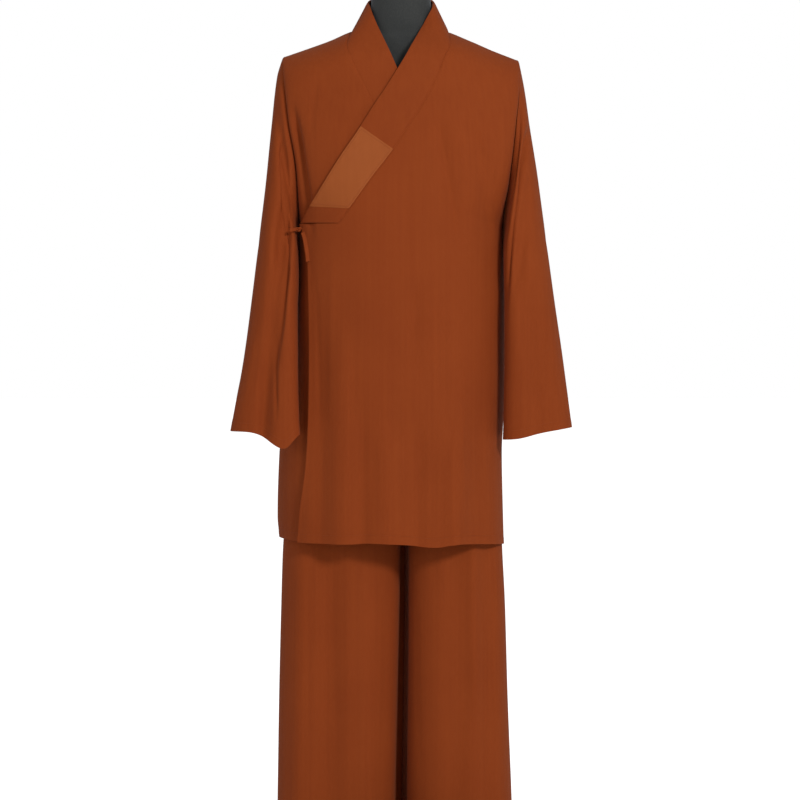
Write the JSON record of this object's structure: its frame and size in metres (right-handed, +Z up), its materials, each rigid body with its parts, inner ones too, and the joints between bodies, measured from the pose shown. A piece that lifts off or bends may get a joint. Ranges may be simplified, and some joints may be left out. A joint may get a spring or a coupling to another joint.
{
  "type": "buddhist monk robe on a dress form",
  "caption": "Crossed-collar monk's jacket, tied at the side, over straight wide trousers, standing on a limbless dress form with a pole and round base.",
  "frame": {"origin": "under the middle of the round base, on the floor", "axes": "+Z up; the garment's front faces -Y; the wearer's left is +X"},
  "size_m": [0.6276, 0.4, 1.6093],
  "materials": {
    "robe_cloth": "plain weave, soft matt",
    "patch_cloth": "plain weave with a slight sheen",
    "form_cover": "matt jersey",
    "cap_plastic": "matt",
    "stand_metal": "satin black paint"
  },
  "bodies": {
    "root": {"front_over": "robe_cloth", "front_under": "robe_cloth", "back": "robe_cloth", "sleeve_right": "robe_cloth", "sleeve_left": "robe_cloth", "collar": "robe_cloth", "tie_knot": "robe_cloth", "tie_end_side": "robe_cloth", "tie_end_down": "robe_cloth", "trouser_front_right": "robe_cloth", "trouser_back_right": "robe_cloth", "trouser_front_left": "robe_cloth", "trouser_back_left": "robe_cloth", "waistband": "robe_cloth", "collar_patch": "patch_cloth", "form_torso": "form_cover", "neck_cap": "cap_plastic", "stand_pole": "stand_metal", "stand_hub": "stand_metal", "stand_base": "stand_metal"}
  },
  "joints": []
}
